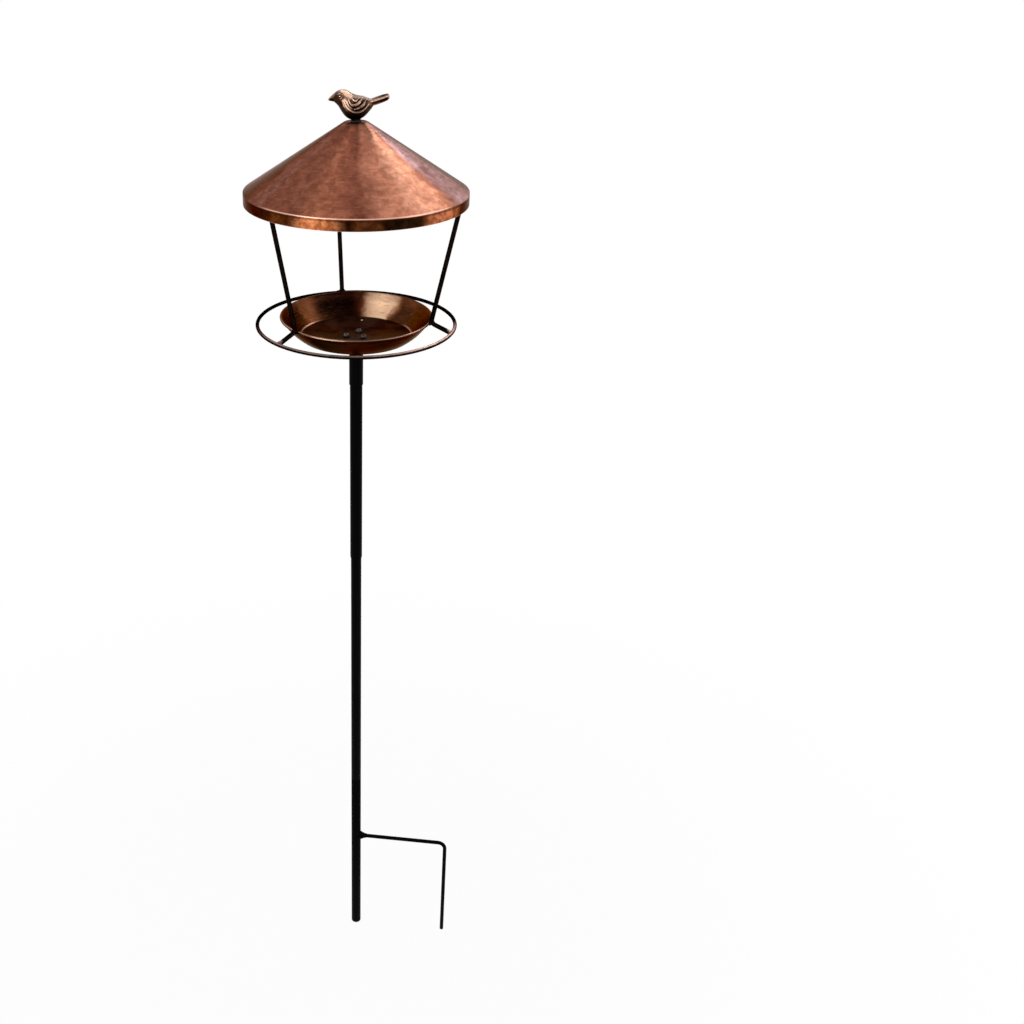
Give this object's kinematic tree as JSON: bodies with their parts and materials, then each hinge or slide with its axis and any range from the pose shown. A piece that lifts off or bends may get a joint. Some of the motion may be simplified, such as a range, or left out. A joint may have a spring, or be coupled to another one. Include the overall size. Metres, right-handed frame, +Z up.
{
  "type": "bird feeder pole with birdbath",
  "caption": "Copper-finish bird bath and feeder: a shallow dish and perch ring under a conical roof topped by a cast bird, on a black push-together step-in pole with a side prong.",
  "frame": {"origin": "on the pole's axis, at the flat lower face of the stake's plug", "axes": "+Z up along the pole, -X the way the bird faces, -Y towards the front, and the prong near +X"},
  "size_m": [0.3073, 0.303, 1.4437],
  "materials": {
    "copper_sheet": "copper-plated steel sheet, brushed round and darkened in patches",
    "copper_cast": "cast metal with an antique copper finish, dark in the hollows",
    "pole_black": "matt black powder coat on steel",
    "dark_bronze": "dark bronze paint on steel wire, rubbed to copper on top",
    "zinc_steel": "zinc-plated steel, gone dull",
    "black_rubber": "matt black rubber",
    "plug_plastic": "matt black plastic"
  },
  "bodies": {
    "stake": {"pole_lower": "pole_black", "pole_end_plug": "plug_plastic", "prong": "pole_black"},
    "middle": {"pole_middle": "pole_black"},
    "upper": {"pole_upper": "pole_black"},
    "head": {"flange_socket": "pole_black", "dish": "copper_sheet", "dish_screw_1": "zinc_steel", "dish_screw_2": "zinc_steel", "dish_screw_3": "zinc_steel", "seal_washer_1": "black_rubber", "seal_washer_2": "black_rubber", "seal_washer_3": "black_rubber", "dish_nut_1": "zinc_steel", "dish_nut_2": "zinc_steel", "dish_nut_3": "zinc_steel", "perch_ring": "dark_bronze", "leg_rod_rear": "dark_bronze", "leg_rod_left": "dark_bronze", "leg_rod_right": "dark_bronze", "roof": "copper_sheet", "finial_gasket": "black_rubber", "finial_washer": "zinc_steel", "finial_bolt": "zinc_steel", "bird_finial": "copper_cast"}
  },
  "joints": [
    {"name": "middle_lift", "type": "slide", "parent": "stake", "child": "middle", "axis": [0, 0, 1], "range_m": [0, 0.047]},
    {"name": "upper_lift", "type": "slide", "parent": "middle", "child": "upper", "axis": [0, 0, 1], "range_m": [0, 0.05]},
    {"name": "head_turn", "type": "hinge", "parent": "upper", "child": "head", "pos_m": [0, 0, 1.1061], "axis": [0, 0, 1], "continuous": true}
  ]
}
